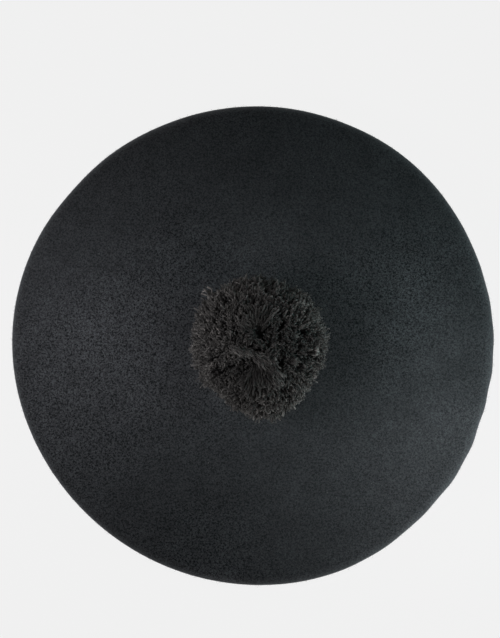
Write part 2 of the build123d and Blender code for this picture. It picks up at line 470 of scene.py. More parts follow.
@dataclass(frozen=True)
class Satin:
    """Black lining satin: a fine twill line, soft creases and a long low gloss."""

    dark: tuple[float, float, float] = (0.012, 0.012, 0.014)
    light: tuple[float, float, float] = (0.035, 0.035, 0.04)
    thread: float = 0.45

    def make(self, name: str) -> bpy.types.Material:
        """Build the material."""
        dye = Dye(name)
        twill = dye.noise(self.thread, detail=1, stretch=(6, 1, 1))
        crease = dye.noise(22, detail=3, rough=0.5, stretch=(2.5, 1, 1))
        dye.paint(dye.blend(dye.spread(twill, 0.35, 0.65, 0, 1), self.dark, self.light))
        dye.roughen(dye.spread(crease, 0.3, 0.7, 0.32, 0.46))
        dye.raise_by(crease, 0.6, 0.35)
        dye.raise_by(twill, 0.06, 0.5)
        dye.set(Anisotropic=0.5, Specular_IOR_Level=0.5, Sheen_Weight=0.1)
        return dye.material


@dataclass(frozen=True)
class Leather:
    """Thin sheepskin for a sweatband: fine pebbled grain, darker pores and a dull polish."""

    dark: tuple[float, float, float] = (0.022, 0.014, 0.010)
    light: tuple[float, float, float] = (0.062, 0.042, 0.032)

    def make(self, name: str = "sweatband_leather") -> bpy.types.Material:
        """Build the material."""
        dye = Dye(name)
        pebble = dye.specks(0.9, 0.75)
        tone = dye.noise(9, detail=4, rough=0.6)
        pores = dye.noise(0.4, detail=2, rough=0.6)
        dye.paint(dye.blend(dye.spread(tone, 0.3, 0.7, 0, 1), self.dark, self.light))
        dye.roughen(dye.spread(pores, 0.3, 0.7, 0.42, 0.62))
        dye.raise_by(pebble, 0.12, 0.5)
        dye.raise_by(pores, 0.05, 0.4)
        return dye.material


@dataclass(frozen=True)
class Plastic:
    """Moulded button plastic with faint flow marks and fine scuffs."""

    dark: tuple[float, float, float] = (0.018, 0.018, 0.018)
    light: tuple[float, float, float] = (0.034, 0.033, 0.032)

    def make(self, name: str = "button_plastic") -> bpy.types.Material:
        """Build the material."""
        dye = Dye(name)
        flow = dye.noise(3, detail=2, wander=1.5)
        scuff = dye.noise(0.5, detail=3, rough=0.7, stretch=(5, 1, 1))
        dye.paint(dye.blend(dye.spread(flow, 0.3, 0.7, 0, 1), self.dark, self.light))
        dye.roughen(dye.spread(scuff, 0.35, 0.65, 0.28, 0.45))
        dye.raise_by(scuff, 0.02, 0.3)
        return dye.material


@dataclass(frozen=True)
class StudioPaper:
    """The plain pale floor: mostly its own even light, so that it stays pale beside black felt."""

    glow: float
    albedo: float

    def make(self, name: str) -> bpy.types.Material:
        """Build the material."""
        dye = Dye(name)
        dye.set(Base_Color=(self.albedo,) * 3 + (1,), Roughness=1, Specular_IOR_Level=0,
                Emission_Color=(1, 1, 1, 1), Emission_Strength=self.glow)
        return dye.material


# ---------------------------------------------------------------- studio


@dataclass(frozen=True)
class SoftBox:
    """One square lamp, aimed at a point."""

    name: str
    place: tuple[float, float, float]
    aim: tuple[float, float, float]
    size: float
    power: float
    colour: tuple[float, float, float]
    spread: float = 180.0

    def light(self) -> None:
        """Put the lamp into the scene."""
        data = bpy.data.lights.new(self.name, "AREA")
        data.shape = "SQUARE"
        data.size = self.size * MM
        data.energy = self.power
        data.color = self.colour
        data.spread = math.radians(self.spread)
        lamp = bpy.data.objects.new(self.name, data)
        lamp.location = np.array(self.place) * MM
        away = np.array(self.place) - np.array(self.aim)
        lamp.rotation_mode = "QUATERNION"
        lamp.rotation_quaternion = Vector(away).to_track_quat("Z", "Y")
        lamp.visible_camera = False
        bpy.context.scene.collection.objects.link(lamp)


@dataclass
class Studio:
    """The camera straight above the crown, three soft boxes and a pale floor."""

    lens: float = 100.0
    sensor: float = 36.0
    view_long_side: float = 373.4
    view_centre: tuple[float, float] = (-2.2, 15.0)
    rim_height: float = 20.0
    floor_half: float = 3000.0
    floor_drop: float = 0.2
    floor_glow: float = 0.865
    floor_albedo: float = 0.03
    dome_radius: float = 2900.0
    dome_glow: float = 0.88
    sky: float = 0.065
    lamps: tuple[SoftBox, ...] = (
        SoftBox("left_soft_box", (-185, 5, 260), (-90, 8, 30), 90, 0.117, (0.94, 0.93, 0.98), 100),
        SoftBox("right_soft_box", (265, -145, 150), (100, -50, 30), 120, 0.122, (0.96, 0.98, 1.0), 80),
        SoftBox("side_soft_box", (420, 40, 160), (60, 20, 30), 200, 0.082, (0.50, 0.98, 1.0), 80),
    )

    def build(self) -> None:
        """Make the camera, the lamps, the floor and the pale surround."""
        scene = bpy.context.scene
        scene.view_settings.view_transform = "Standard"
        data = bpy.data.cameras.new("camera")
        data.lens = self.lens
        data.sensor_width = self.sensor
        data.clip_start = 10 * MM
        data.clip_end = 20
        camera = bpy.data.objects.new("camera", data)
        away = self.view_long_side * self.lens / self.sensor
        camera.location = np.array((*self.view_centre, self.rim_height + away)) * MM
        scene.collection.objects.link(camera)
        scene.camera = camera
        for lamp in self.lamps:
            lamp.light()
        world = bpy.data.worlds.new("studio")
        world.use_nodes = True
        world.node_tree.nodes["Background"].inputs["Color"].default_value = (1, 1, 1, 1)
        world.node_tree.nodes["Background"].inputs["Strength"].default_value = self.sky
        scene.world = world
        self._floor()
        self._surround()
        log.info("studio ready")

    def _stage_object(self, name: str, points: np.ndarray, quads: np.ndarray,
                      paper: StudioPaper) -> bpy.types.Object:
        """A floor or backdrop object from arrays."""
        mesh = bpy.data.meshes.new(name)
        mesh.from_pydata((points * MM).tolist(), [], quads.tolist())
        mesh.materials.append(paper.make(name))
        made = bpy.data.objects.new(name, mesh)
        bpy.context.scene.collection.objects.link(made)
        return made

    def _floor(self) -> None:
        """A flat square floor, a hair under the hem."""
        side, z = self.floor_half, -self.floor_drop
        points = np.array([(-side, -side, z), (side, -side, z), (side, side, z), (-side, side, z)])
        self._stage_object("floor", points, np.array([(0, 1, 2, 3)]),
                           StudioPaper(self.floor_glow, self.floor_albedo))

    def _surround(self) -> None:
        """A pale half ball round the scene, radius times the unit ball, that only the camera meets."""
        rows, columns = 16, 48
        lift = np.linspace(math.pi / 2 - 0.02, -0.1, rows)[:, None]
        turn = np.arange(columns)[None, :] * FULL_TURN / columns
        ball = np.stack([np.cos(lift) * np.cos(turn), np.cos(lift) * np.sin(turn),
                         np.sin(lift) + 0 * turn], -1)
        surround = self._stage_object("surround", ball.reshape(-1, 3) * self.dome_radius,
                                      ring_quads(rows, columns), StudioPaper(self.dome_glow, 0))
        surround.visible_diffuse = False
        surround.visible_glossy = False
        surround.visible_transmission = False
        surround.visible_shadow = False


# ---------------------------------------------------------------- felt crown


@dataclass(frozen=True)
class Crease:
    """A soft shallow valley in the felt: where its middle lies, which way it runs, its size and depth."""

    x: float
    y: float
    turn: float
    length: float
    width: float
    depth: float

    def lower(self, x: np.ndarray, y: np.ndarray) -> np.ndarray:
        """How far it lowers each place: depth * exp(-(along / length)^2 - (across / width)^2)."""
        way = math.radians(self.turn)
        along = (x - self.x) * math.cos(way) + (y - self.y) * math.sin(way)
        across = (y - self.y) * math.cos(way) - (x - self.x) * math.sin(way)
        return self.depth * np.exp(-(along / self.length) ** 2 - (across / self.width) ** 2)


@dataclass(frozen=True)
class Swell:
    """A stretch of a round edge that stands out, or in where its size is negative, seen from above."""

    bearing: float
    width: float
    size: float

    def out(self, turn: np.ndarray) -> np.ndarray:
        """size * exp(-(degrees from its bearing, the short way round / width)^2)."""
        apart = (np.degrees(turn) - self.bearing + 180) % 360 - 180
        return self.size * np.exp(-(apart / self.width) ** 2)


@dataclass
class CrownShape:
    """The felt body's section and its soft unevenness, shared by everything sewn to it."""

    radius: float
    apex: float
    felt: float = 2.6
    opening: float = 90.0
    rest_end: float = 98.0
    toe_radius: float = 30.0
    underside_angle: float = 22.0
    rim_radius: float = 8.0
    crown_angle: float = 11.0
    # the rim lies a little three-cornered, with one corner at this bearing
    corners: int = 3
    corner_size: float = 1.0
    corner_bearing: float = 50.0
    rim_swells: tuple[Swell, ...] = (
        Swell(0, 18, 1.2), Swell(-30, 10, 1.1), Swell(-68, 18, 0.7), Swell(180, 25, 0.5),
        Swell(140, 9, -0.6), Swell(68, 12, -0.5),
    )
    creases: tuple[Crease, ...] = (
        Crease(116, -8, 24, 34, 9, 1.1),
        Crease(-54, -22, -58, 52, 13, 0.5),
        Crease(-78, 62, 38, 44, 12, 0.6),
        Crease(28, 88, 8, 60, 16, 0.5),
        Crease(70, -84, -42, 46, 12, 0.5),
        Crease(-30, -96, -12, 40, 12, 0.5),
        Crease(102, 44, 70, 36, 10, 0.6),
        Crease(-56, 128, 30, 20, 10, 1.2),
        Crease(-98, 92, 42, 18, 9, 1.0),
    )

    def __post_init__(self) -> None:
        """Work out the rim's and the dome's centres, which are tangent to their neighbours."""
        slope = math.radians(self.underside_angle)
        tilt = math.radians(self.crown_angle)
        self.rim_r = self.radius - self.rim_radius
        climb = self.rim_radius - self.toe_radius + (self.rim_r - self.rest_end) * math.sin(slope)
        self.rim_z = self.toe_radius + climb / math.cos(slope)
        self.dome = self.rim_r / math.sin(tilt) + self.rim_radius
        self.dome_z = self.apex - self.dome

    def dome_height(self, radius: np.ndarray, inset: float = 0) -> np.ndarray:
        """Height of the dome at a radius: centre + sqrt(dome^2 - radius^2)."""
        return self.dome_z + np.sqrt((self.dome - inset) ** 2 - np.asarray(radius) ** 2)

    def outline(self, dome_rows: int, rim_rows: int, under_rows: int, toe_rows: int,
                hem_rows: int) -> tuple[np.ndarray, np.ndarray]:
        """Section points from the apex, over the rim and in to the opening, with outward normals.

        The dome, rim and toe are arcs, and the underside and hem are straight.

        Returns:
            Places and normals, both as (row, 2) of radius and height.
        """
        slope = math.radians(self.underside_angle)
        tilt = math.radians(self.crown_angle)
        ways = np.concatenate([
            np.linspace(0, tilt, dome_rows, endpoint=False),
            np.linspace(tilt, math.pi - slope, rim_rows, endpoint=False),
            np.full(under_rows, math.pi - slope),
            np.linspace(math.pi - slope, math.pi, toe_rows, endpoint=False),
            np.full(hem_rows, math.pi),
        ])
        normals = np.stack([np.sin(ways), np.cos(ways)], -1)
        dome_n, rim_n, under_n, toe_n, _ = np.split(
            normals, np.cumsum([dome_rows, rim_rows, under_rows, toe_rows]))
        rim_centre = np.array((self.rim_r, self.rim_z))
        toe_centre = np.array((self.rest_end, self.toe_radius))
        under_share = np.linspace(0, 1, under_rows, endpoint=False)[:, None]
        under_start = rim_centre + self.rim_radius * under_n[0]
        under_end = toe_centre + self.toe_radius * under_n[0]
        hem = np.linspace(self.rest_end, self.opening, hem_rows)
        places = np.concatenate([
            np.array((0, self.dome_z)) + self.dome * dome_n,
            rim_centre + self.rim_radius * rim_n,
            under_start + under_share * (under_end - under_start),
            toe_centre + self.toe_radius * toe_n,
            np.stack([hem, np.zeros(hem_rows)], -1),
        ])
        return places, normals

    def turned(self, section: np.ndarray, columns: int) -> np.ndarray:
        """A section carried round the axis and settled, as (row, column, 3)."""
        turn = np.arange(columns) * FULL_TURN / columns
        x = section[:, :1] * np.cos(turn)
        y = section[:, :1] * np.sin(turn)
        z = np.repeat(section[:, 1:], columns, 1)
        return self.settle(np.stack([x, y, z], -1))

    def settle(self, points: np.ndarray) -> np.ndarray:
        """Move points as soft felt lies: the rim swells in and out, and creases lower the crown.

        The edge moves out by its corners and its swells, faded in over the outer part of the
        crown. Heights move in proportion to how far they stand above the hem.
        """
        x, y, z = points[..., 0], points[..., 1], points[..., 2]
        radius = np.hypot(x, y)
        turn = np.arctan2(y, x)
        edge = smoothstep(0.66 * self.radius, self.radius, radius)
        wave = self.corner_size * np.cos(self.corners * (turn - math.radians(self.corner_bearing)))
        dents = sum(swell.out(turn) for swell in self.rim_swells)
        dents += 0.25 * np.sin(36 * turn + 2 * np.sin(3 * turn)) * np.exp(-((turn + 0.4) / 0.6) ** 2)
        grow = 1 + edge * (wave + dents) / np.maximum(radius, 1)
        lift = np.clip(z / self.rim_z, 0, 1)
        drop = sum(crease.lower(x, y) for crease in self.creases)
        swell = 0.5 * np.sin(x / 31 + 0.6) * np.cos(y / 37 - 0.9) + edge * (0.5 * dents - 0.35 * wave)
        calm = smoothstep(10, 40, radius)
        return np.stack([x * grow, y * grow, z + lift * calm * (swell - drop)], -1)


@dataclass(frozen=True)
class PaintedLightZone:
    """A part of the crown whose felt colour is painted lighter or darker, as painted light or painted shade.
    """

    x: float
    y: float
    width: float
    gain: float

    def tone(self, x: np.ndarray, y: np.ndarray) -> np.ndarray:
        """gain at its middle, and 1 far from it, by exp(-(distance / width)^2)."""
        near = np.exp(-((x - self.x) ** 2 + (y - self.y) ** 2) / self.width ** 2)
        return 1 + (self.gain - 1) * near


@dataclass
class FeltCrown:
    """The seamless felt body and its nap."""

    shape: CrownShape
    # painted light and shade on the crown: lit patches above 1 and shaded ones below 1, with the pompom's
    # painted shadow at (56, 0)
    zones: tuple[PaintedLightZone, ...] = (
        PaintedLightZone(-90, 12, 34, 1.28), PaintedLightZone(-48, -94, 44, 0.72), PaintedLightZone(-5, 118, 60, 0.74),
        PaintedLightZone(56, 0, 22, 0.66), PaintedLightZone(98, -46, 34, 1.24), PaintedLightZone(92, 14, 26, 1.32),
        PaintedLightZone(-95, 88, 40, 0.94), PaintedLightZone(0, 60, 22, 1.22), PaintedLightZone(96, 78, 34, 0.92),
    )
    columns: int = 288
    hem_rows: int = 6
    nap_count: int = 42000
    nap_length: tuple[float, float] = (0.7, 2.2)
    nap_width: float = 0.07
    seed: int = 11

    def build(self) -> None:
        """Make the body and the nap."""
        felt = WoolFelt().make()
        places, normals = self.shape.outline(96, 18, 16, 8, self.hem_rows)
        inner = places - self.shape.felt * normals
        cut = np.linspace(0, math.pi, 5)[1:-1, None]
        edge = places[-1] + self.shape.felt / 2 * np.concatenate(
            [-0.35 * np.sin(cut), 1 - np.cos(cut)], 1)
        section = np.concatenate([places[1:], edge, inner[:0:-1]])
        rings = self.shape.turned(section, self.columns)
        rows = len(section)
        top = np.array(((0, 0, places[0, 1]),))
        under = np.array(((0, 0, inner[0, 1]),))
        points = np.concatenate([rings.reshape(-1, 3), top, under])
        # the body's shade attribute holds the zones' painted light and shade
        body = Cloth(points, ring_quads(rows, self.columns), end_fans(rows, self.columns),
                     self._painted_light_and_shade(points)).piece("felt_body", felt, Body.BERET, "wool_felt")
        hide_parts("felt_crown")
        self._nap(rings[:len(places) - 1 - self.hem_rows])

    def _painted_light_and_shade(self, points: np.ndarray) -> np.ndarray:
        """The zones' painted light and shade at each point, multiplied together, and 1 below the rim."""
        x, y, z = points.T
        tone = np.prod([zone.tone(x, y) for zone in self.zones], axis=0)
        return 1 + (tone - 1) * smoothstep(14, 22, z)

    def _nap(self, rings: np.ndarray) -> None:
        """Short loose fibres over the outside, rooted at random places with equal cover."""
        rng = np.random.default_rng(self.seed)
        following = np.roll(rings, -1, axis=1)
        along = rings[1:] - rings[:-1]
        round_ = (following - rings)[:-1]
        area = np.linalg.norm(np.cross(along, round_), axis=-1).ravel()
        cell = rng.choice(len(area), self.nap_count, p=area / area.sum())
        share = rng.random((2, self.nap_count, 1))
        roots = (rings[:-1].reshape(-1, 3)[cell] + share[0] * along.reshape(-1, 3)[cell]
                 + share[1] * round_.reshape(-1, 3)[cell])
        out = unit(np.cross(along.reshape(-1, 3)[cell], round_.reshape(-1, 3)[cell]))
        loose = rng.normal(size=roots.shape)
        flat = unit(loose - out * (loose * out).sum(-1, keepdims=True))
        length = rng.uniform(*self.nap_length, (self.nap_count, 1))
        stand = rng.uniform(0.12, 0.75, (self.nap_count, 1))
        ways = length * (flat + stand * out)
        bends = length * (0.5 * unit(rng.normal(size=roots.shape)) - 0.35 * stand * out)
        # each fibre's random tone times the crown zones' painted light and shade
        shade = rng.uniform(0.4, 1.7, self.nap_count) * self._painted_light_and_shade(roots)
        width = np.full(self.nap_count, self.nap_width)
        nap = WoolYarn(dark=(0.02, 0.021, 0.022), light=(0.075, 0.08, 0.084), sheen=0.1).make(
            "felt_fibre")
        fibres = ribbons(roots - 0.05 * out, ways, bends, width, shade)
        fibres.points[:, 2] = np.maximum(fibres.points[:, 2], 0.02)
        fibres.piece("felt_nap", nap, Body.BERET, "wool_felt")


# ---------------------------------------------------------------- inside the crown


@dataclass
class Lining:
    """The satin lining in two parts, and the blank label sewn to it."""

    shape: CrownShape
    gap: float = 0.45
    satin: float = 0.22
    seam_radius: float = 122.0
    columns: int = 312
    label: float = 0.25
    label_size: tuple[float, float] = (32.0, 18.0)
    label_y: float = 48.0
    sag: float = 1.3
    puckers: int = 26

    def build(self) -> None:
        """Make the tip, the side and the label."""
        satin = Satin().make("lining_satin")
        inset = self.shape.felt + self.gap
        radii = np.linspace(0, self.seam_radius, 40)[1:]
        section = np.stack([radii, self.shape.dome_height(radii, inset)], -1)
        tip = self.shape.turned(section, self.columns)
        tip[..., 2] -= self._sag(tip[..., 0], tip[..., 1])
        middle = np.array(((0, 0, self.shape.dome_height(0, inset)),))
        here = np.arange(self.columns)
        fan = np.stack([0 * here + len(radii) * self.columns, here, (here + 1) % self.columns], -1)
        points = np.concatenate([tip.reshape(-1, 3), middle])
        made = Cloth(points, ring_quads(len(radii), self.columns), fan).piece(
            "lining_top_cloth", satin, Body.BERET, "satin")
        thicken(made, self.satin, -1)
        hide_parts("lining_tip")
        self._side(satin, inset)
        self._label(inset)

    def _sag(self, x: np.ndarray, y: np.ndarray) -> np.ndarray:
        """How far the tip hangs below the felt.

        It is held at the button and at the seam. Between them it hangs in broad folds, a slow
        wave of the bearing and the radius. Puckers of |sin| run in from the seam and fade.
        """
        radius, turn = np.hypot(x, y), np.arctan2(y, x)
        held = smoothstep(9, 48, radius) * (1 - smoothstep(92, 121, radius))
        broad = 0.5 + 0.5 * np.sin(5 * turn + 1.7 * np.sin(2 * turn + 1) + radius / 21)
        gather = smoothstep(78, 110, radius) * (1 - smoothstep(114, 122.5, radius))
        pucker = np.abs(np.sin(self.puckers / 2 * turn + 0.8 * np.sin(3 * turn))) ** 1.5
        return self.sag * (held * (0.25 + 0.75 * broad) + 0.7 * gather * pucker)

    def _side(self, satin: bpy.types.Material, inset: float) -> None:
        """The side strip, which follows the section from the seam round the rim to the sweatband."""
        places, normals = self.shape.outline(96, 14, 18, 6, 5)
        section = places - inset * normals
        section = section[section[:, 0] > 0]
        start = np.argmax(section[:, 0] > self.seam_radius)
        section = section[start:]
        rings = self.shape.turned(section, self.columns)
        turn = np.arange(self.columns) * FULL_TURN / self.columns
        gather = smoothstep(6, 14, rings[..., 2]) * np.abs(np.sin(self.puckers * turn))[None, :]
        rings[..., :2] *= (1 - 0.004 * gather)[..., None]
        made = Cloth(rings.reshape(-1, 3), ring_quads(len(section), self.columns)).piece(
            "lining_side_cloth", satin, Body.BERET, "satin")
        thicken(made, self.satin, -1)
        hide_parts("lining_side")

    def _label(self, inset: float) -> None:
        """The label: a small weave that lies along the dome."""
        across = np.linspace(-0.5, 0.5, 33) * self.label_size[0]
        along = np.linspace(-0.5, 0.5, 19) * self.label_size[1] + self.label_y
        x, y = np.meshgrid(across, along)
        lower = self.shape.dome_height(np.hypot(x, y), inset + self.satin + 0.35)
        z = self.shape.settle(np.stack([x, y, lower], -1))[..., 2] - self._sag(x, y)
        points = np.stack([x, y, z], -1).reshape(-1, 3)
        weave = Satin(dark=(0.05, 0.05, 0.05), light=(0.13, 0.13, 0.13), thread=0.3).make("label_weave")
        made = Cloth(points, sheet_quads(*x.shape)).piece(
            "blank_label", weave, Body.BERET, "label_weave")
        thicken(made, self.label, 0)
        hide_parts("lining_label")


@dataclass
class Sweatband:
    """The leather strip round the opening, and the thread that holds it."""

    shape: CrownShape
    stitch_count: int = 120
    groove_z: float = 2.4
    groove_depth: float = 0.45
    join_gap: float = 0.5
    thickness: float = 1.2
    edge_roll: float = 0.4
    rows: int = 40
    columns: int = 360

    def build(self) -> None:
        """Make the strip and its stitches."""
        low, high = node_box("sweatband")
        outside = high[0]
        leather = outside - self.thickness
        bottom, top = low[2], high[2]
        self._strip(leather, outside, bottom, top)
        self._stitches(leather)

    def _strip(self, inside: float, outside: float, bottom: float, top: float) -> None:
        """The strip's section is a rounded rectangle, with a groove that follows exp(-(z / width)^2)."""
        edge = self.edge_roll
        up = np.linspace(bottom + edge, top - edge, self.rows)
        groove = self.groove_depth * np.exp(-((up - self.groove_z) / 0.55) ** 2)
        roll = np.linspace(0, math.pi, 7)[1:-1]
        mid, half = (inside + outside) / 2, (outside - inside) / 2
        inner = np.stack([inside + groove, up], -1)
        over = np.stack([mid - half * np.cos(roll), top - edge + edge * np.sin(roll)], -1)
        outer = np.stack([0 * up + outside, up[::-1]], -1)
        below = np.stack([mid + half * np.cos(roll), bottom + edge - edge * np.sin(roll)], -1)
        section = np.concatenate([inner, over, outer, below])
        half_gap = self.join_gap / 2 / inside
        turn = np.linspace(math.pi / 2 + half_gap, math.pi / 2 + FULL_TURN - half_gap, self.columns)
        wave = 0.1 * np.sin(9 * turn) + 0.06 * np.sin(23 * turn + 1)
        sway = wave[:, None] * smoothstep(bottom, top, section[:, 1])[None, :]
        radius = section[:, 0][None, :] + np.minimum(sway, 0.12)
        points = np.stack([radius * np.cos(turn)[:, None], radius * np.sin(turn)[:, None],
                           np.broadcast_to(section[:, 1], radius.shape)], -1)
        count = len(section)
        ends = points[[0, -1]].mean(1)
        quads = ring_quads(self.columns, count)[:, ::-1]
        tris = end_fans(self.columns, count)[:, ::-1]
        made = Cloth(np.concatenate([points.reshape(-1, 3), ends]), quads, tris).piece(
            "leather_strip", Leather().make(), Body.BERET, "sweatband_leather")
        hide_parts("sweatband")

    def _stitches(self, inside: float) -> None:
        """Slanted stitches in the groove, each a short bowed thread that dips in at both ends."""
        turn = math.pi / 2 + (np.arange(self.stitch_count) + 0.5) * FULL_TURN / self.stitch_count
        share = np.linspace(-1, 1, 7)
        along = turn[:, None] + share[None, :] * 1.65 / inside
        radius = inside + 0.16 + 0.22 * share[None, :] ** 4 + 0 * along
        height = self.groove_z + 0.22 * share[None, :] + 0 * along
        paths = np.stack([radius * np.cos(along), radius * np.sin(along), height], -1)
        plies = twisted(paths, 2, 0.09, 0.9, turn)
        cotton = WoolYarn(dark=(0.02, 0.02, 0.02), light=(0.07, 0.068, 0.065), fibre_size=0.2).make(
            "sewing_thread")
        made = thread(plies, 0.12, 5).piece("sweatband_thread", cotton, Body.BERET, "sewing_thread")
        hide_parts("sweatband_stitches")


@dataclass
class RibbonBow:
    """The small flat bow over the top of the sweatband's join."""

    ribbon: float = 0.35
    samples: int = 64
    loop_rows: int = 9
    wrap_rows: int = 15
    wrap_columns: int = 40

    def build(self) -> None:
        """Make both loops and the wrap between them."""
        low, high = node_box("bow_loops")
        knot_low, knot_high = node_box("bow_knot")
        ribbon = Satin(dark=(0.014, 0.014, 0.016), light=(0.04, 0.04, 0.045), thread=0.3).make("bow_ribbon")
        middle_y = (low[1] + high[1]) / 2
        start = knot_high[0] - 0.4
        loops = [self._loop(side, start, high[0], middle_y, (high[1] - low[1]) / 2, low[2], high[2])
                 for side in (-1, 1)]
        made = Cloth.joined(loops).piece("bow_loop_ribbon", ribbon, Body.BERET, "ribbon")
        made.data.attributes.remove(made.data.attributes["shade"])
        thicken(made, self.ribbon, 0)
        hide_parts("bow_loops")
        knot = self._knot(knot_low, knot_high).piece("bow_wrap", ribbon, Body.BERET, "ribbon")
        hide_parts("bow_knot")

    def _loop(self, side: int, start: float, end: float, middle_y: float, half_width: float,
              bottom: float, top: float) -> Cloth:
        """A ribbon loop: x = start + length * sin^2(t / 2), y = half width * sin t * a taper to the knot."""
        t = np.linspace(0.12, FULL_TURN - 0.12, self.samples)
        reach = np.sin(t / 2) ** 2
        x = side * (start + (end - self.ribbon - start) * reach)
        y = middle_y + (half_width - self.ribbon / 2) * np.sin(t) * (0.35 + 0.65 * reach)
        rows = np.linspace(bottom, top, self.loop_rows)[:, None]
        tuck = 1 - 0.3 * (1 - reach)
        z = (bottom + top) / 2 + (rows - (bottom + top) / 2) * tuck
        points = np.stack([x + 0 * z, y + 0 * z, z], -1)
        return Cloth(points.reshape(-1, 3), sheet_quads(self.loop_rows, self.samples))

    def _knot(self, low: np.ndarray, high: np.ndarray) -> Cloth:
        """The wrap: a superellipse in plan, |x|^3 + |y|^3 = 1, that bulges at its middle height."""
        rows, columns = self.wrap_rows, self.wrap_columns
        turn = np.arange(columns) * FULL_TURN / columns
        lift = np.linspace(-1, 1, rows)
        plan = (np.abs(np.cos(turn)) ** 3 + np.abs(np.sin(turn)) ** 3) ** (-1 / 3)
        centre, half = (low + high) / 2, (high - low) / 2
        size = (1 - np.abs(lift) ** 6 * 0.35)[:, None]
        fold = 1 - 0.05 * np.abs(np.sin(5 * lift))[:, None]
        x = centre[0] + half[0] * plan * np.cos(turn) * size * fold
        y = centre[1] + half[1] * plan * np.sin(turn) * size
        z = centre[2] + half[2] * lift[::-1][:, None] + 0 * x
        points = np.concatenate([np.stack([x, y, z], -1).reshape(-1, 3),
                                 [(*centre[:2], high[2]), (*centre[:2], low[2])]])
        return Cloth(points, ring_quads(rows, columns), end_fans(rows, columns))


# ---------------------------------------------------------------- pompom


@dataclass(frozen=True)
class Hollow:
    """A dip between strands, seen from above, whose ends are painted darker as painted shade.

    x, y: its place from the pompom's middle.
    width: how wide it is.
    depth: how far the ends in it stay short of the ball, as a share of its radius.
    lean: how far the ends round it lean away, which opens it into a parting.
    """

    x: float
    y: float
    width: float
    depth: float
    lean: float = 0

    def near(self, plan: np.ndarray, spread: float = 1) -> np.ndarray:
        """exp(-(distance / (width * spread))^2) for each place."""
        offset = plan - (self.x, self.y)
        return np.exp(-(offset ** 2).sum(-1) / (self.width * spread) ** 2)

    def push(self, plan: np.ndarray) -> np.ndarray:
        """How far each end leans away: lean straight out of the parting, faded with distance."""
        offset = plan - (self.x, self.y)
        away = offset / np.maximum(np.linalg.norm(offset, axis=-1, keepdims=True), 0.4)
        return self.lean * self.near(plan, 2.0)[:, None] * away


@dataclass(frozen=True)
class Lock:
    """Strands that lie on the ball side by side, from a start to an end, seen from above."""

    start: tuple[float, float]
    end: tuple[float, float]
    width: float
    count: int
    gain: float = 1.0

    def paths(self, rng: np.random.Generator, steps: int) -> np.ndarray:
        """Plan paths, as (strand, step, 2): stretches of the line from start to end, each a little askew."""
        start, run = np.array(self.start), np.subtract(self.end, self.start)
        length = np.linalg.norm(run)
        across = np.array((-run[1], run[0])) / length
        first = rng.uniform(-0.15, 0.75, (self.count, 1, 1))
        part = rng.uniform(6, 11, (self.count, 1, 1)) / length
        share = first + part * np.linspace(0, 1, steps)[None, :, None]
        side = rng.normal(0, self.width / 2, (self.count, 1, 1))
        slant = rng.normal(0, 0.12, (self.count, 1, 1)) * length
        return start + share * run + (side + slant * (share - first)) * across


@dataclass(frozen=True)
class Fan:
    """Strands that climb out of a parting and spread, seen from above, between two bearings in degrees."""

    x: float
    y: float
    bearings: tuple[float, float]
    lengths: tuple[float, float]
    count: int
    gain: float = 1.0

    def paths(self, rng: np.random.Generator, steps: int) -> np.ndarray:
        """Plan paths, as (strand, step, 2): straight out from the parting, with a slight bow."""
        turn = np.radians(rng.uniform(*self.bearings, (self.count, 1)))
        first = rng.uniform(0.3, 5.0, (self.count, 1))
        length = rng.uniform(*self.lengths, (self.count, 1))
        share = np.linspace(0, 1, steps)[None, :]
        run = first + length * share
        turn = turn + rng.normal(0, 0.16, (self.count, 1)) * share
        return np.stack([self.x + run * np.cos(turn), self.y + run * np.sin(turn)], -1)


@dataclass(frozen=True)
class Clump:
    """A tuft painted lighter or darker, as painted light or painted shade, that stands a little proud, seen
    from above.
    """

    x: float
    y: float
    width: float
    gain: float
    lift: float = 0.0

    def near(self, plan: np.ndarray) -> np.ndarray:
        """exp(-(distance / width)^2) for each place."""
        offset = plan - (self.x, self.y)
        return np.exp(-(offset ** 2).sum(-1) / self.width ** 2)


@dataclass(frozen=True)
class Stray:
    """An end that sticks out of the ball: where it points, how far out, how pale and how thick it is."""

    way: tuple[float, float, float]
    reach: float
    shade: float
    thick: float = 1.0


